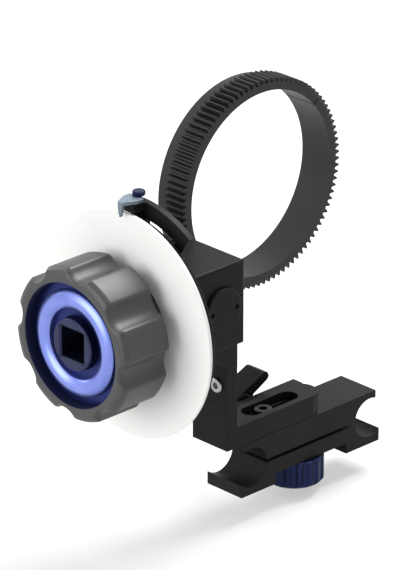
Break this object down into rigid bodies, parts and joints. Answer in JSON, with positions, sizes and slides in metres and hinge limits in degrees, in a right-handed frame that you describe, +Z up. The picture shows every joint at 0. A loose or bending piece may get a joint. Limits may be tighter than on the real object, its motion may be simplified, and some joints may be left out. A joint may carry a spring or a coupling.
{
  "type": "follow focus unit",
  "caption": "Follow focus unit: scalloped handwheel with a marking disc turns a bevel gearbox and drive gear that meshes with a lens gear ring, on a sliding bracket over a rod clamp.",
  "frame": {"origin": "on the left rod's axis, at the middle of the clamp's length along the rods", "axes": "+X towards the camera's right, from the handwheel to the lens; +Y forward along the rods; +Z up"},
  "size_m": [0.1464, 0.083, 0.1483],
  "materials": {
    "black_anodised": "black anodised, fine blasted",
    "grip_black": "black anodised, fine turned and milled, satin",
    "blue_anodised": "blue anodised, satin",
    "steel": "stainless, fine turned",
    "black_steel": "black oxide, oiled",
    "brass": "machined",
    "gear_black": "moulded acetal, matte",
    "white_plate": "matte white writing surface",
    "pointer_grey": "grey-blue anodised, satin"
  },
  "bodies": {
    "base": {"clamp_block": "black_anodised", "guide_screw": "black_steel", "lock_pad": "brass"},
    "jaw": {"rod_jaw": "black_anodised"},
    "clamp_screw": {"clamp_thumbscrew": "blue_anodised", "clamp_stud": "steel"},
    "carriage": {"slide_foot": "black_anodised", "gearbox_arm": "black_anodised", "lap_screws": "steel", "gear_housing": "black_anodised", "housing_floor": "black_anodised", "arm_screws": "steel", "knob_bearings": "steel", "bearing_spacer": "steel", "drive_bearings": "steel", "rear_cap": "black_anodised", "snap_ring": "steel"},
    "lever": {"lock_lever": "black_anodised", "lock_lever_screw": "steel"},
    "handwheel": {"handwheel_grip": "grip_black", "knob_shaft": "steel", "knob_bevel_gear": "brass", "accent_ring": "blue_anodised", "socket_insert": "black_anodised", "hub_screw": "steel", "marking_disc": "white_plate", "backing_disc": "black_anodised", "disc_screws": "steel"},
    "drive": {"drive_shaft": "steel", "drive_bevel_gear": "brass", "drive_gear": "gear_black", "gear_thumbscrew": "blue_anodised"},
    "lens_ring": {"gear_ring": "gear_black", "ring_screw": "steel"},
    "index": {"index_ring": "black_anodised", "index_pointer": "pointer_grey", "index_screw": "blue_anodised"}
  },
  "joints": [
    {"name": "bracket_slide", "type": "slide", "parent": "base", "child": "carriage", "axis": [1, 0, 0], "range_m": [-0.012, 0]},
    {"name": "jaw_slide", "type": "slide", "parent": "base", "child": "jaw", "axis": [0, 0, 1], "range_m": [-0.004, 0]},
    {"name": "clamp_screw_turn", "type": "hinge", "parent": "jaw", "child": "clamp_screw", "pos_m": [0.03, 0, -0.012], "axis": [0, 0, 1], "range_deg": [-1440, 0]},
    {"name": "lock_lever_turn", "type": "hinge", "parent": "base", "child": "lever", "pos_m": [0.0135, 0.012, 0.0129], "axis": [0, 1, 0], "range_deg": [0, 90]},
    {"name": "handwheel_spin", "type": "hinge", "parent": "carriage", "child": "handwheel", "pos_m": [-0.05, 0.002, 0.068], "axis": [1, 0, 0], "continuous": true},
    {"name": "drive_spin", "type": "hinge", "parent": "carriage", "child": "drive", "pos_m": [-0.0188, 0.02, 0.068], "axis": [0, 1, 0], "continuous": true},
    {"name": "ring_spin", "type": "hinge", "parent": "base", "child": "lens_ring", "pos_m": [0.03, 0.0218, 0.09249], "axis": [0, 1, 0], "continuous": true},
    {"name": "index_swing", "type": "hinge", "parent": "carriage", "child": "index", "pos_m": [-0.0435, 0.002, 0.068], "axis": [1, 0, 0], "range_deg": [-30, 30]}
  ],
  "couplings": [
    {"joint": "clamp_screw_turn", "follows": "jaw_slide", "rad_per_m": 6283.2},
    {"joint": "drive_spin", "follows": "handwheel_spin", "ratio": 1},
    {"joint": "ring_spin", "follows": "handwheel_spin", "ratio": -0.41667}
  ]
}
